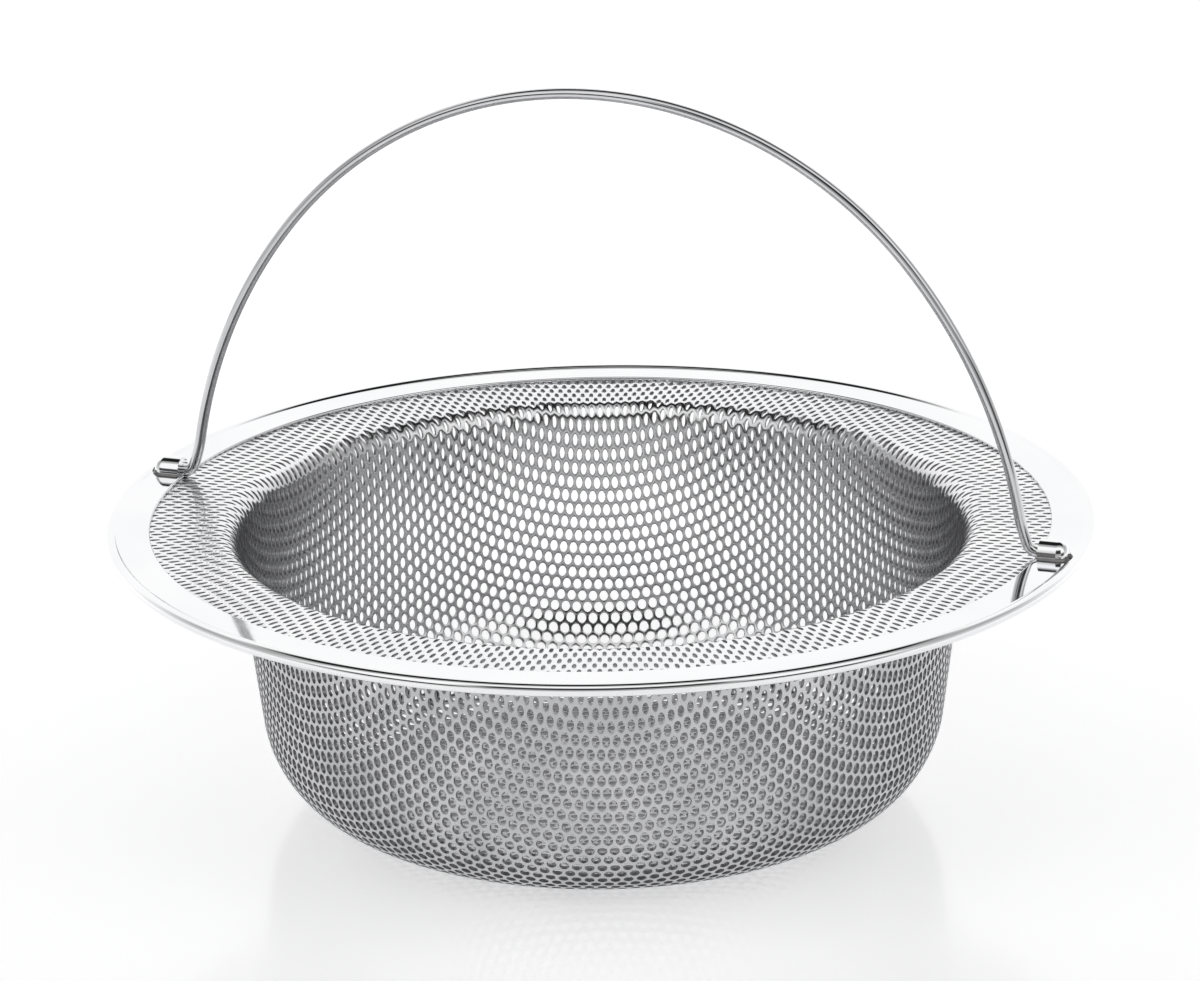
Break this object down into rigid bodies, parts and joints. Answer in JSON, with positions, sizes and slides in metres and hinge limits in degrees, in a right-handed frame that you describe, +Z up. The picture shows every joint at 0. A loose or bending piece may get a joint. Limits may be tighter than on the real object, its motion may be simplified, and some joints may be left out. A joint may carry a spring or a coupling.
{
  "type": "sink basket strainer",
  "caption": "Round kitchen sink basket strainer: a deep perforated steel basket with a wide flange, a folded polished rim, and a wire bail that folds flat either way.",
  "frame": {"origin": "centre of the underside of the basket's floor, which is also the centre of the part's base", "axes": "+Z up, out of the basket's mouth; X along the bail's pivot line, with pivot_lug_right at +X; the bail stands upright in the XZ plane at rest"},
  "size_m": [0.135, 0.135, 0.1005],
  "materials": {
    "basket_sheet": "satin perforated stainless steel",
    "rim_steel": "mirror-polished stainless steel",
    "weld_steel": "bright weld, lightly oxidised",
    "wire_steel": "polished drawn wire"
  },
  "bodies": {
    "strainer": {"strainer_basket": "basket_sheet", "rim_ring": "rim_steel", "pivot_lug_left": "rim_steel", "pivot_lug_right": "rim_steel", "pivot_weld_left": "weld_steel", "pivot_weld_right": "weld_steel"},
    "bail": {"bail_handle": "wire_steel"}
  },
  "joints": [
    {"name": "bail_swing", "type": "hinge", "parent": "strainer", "child": "bail", "pos_m": [0, 0, 0.04125], "axis": [1, 0, 0], "range_deg": [-90, 90]}
  ]
}
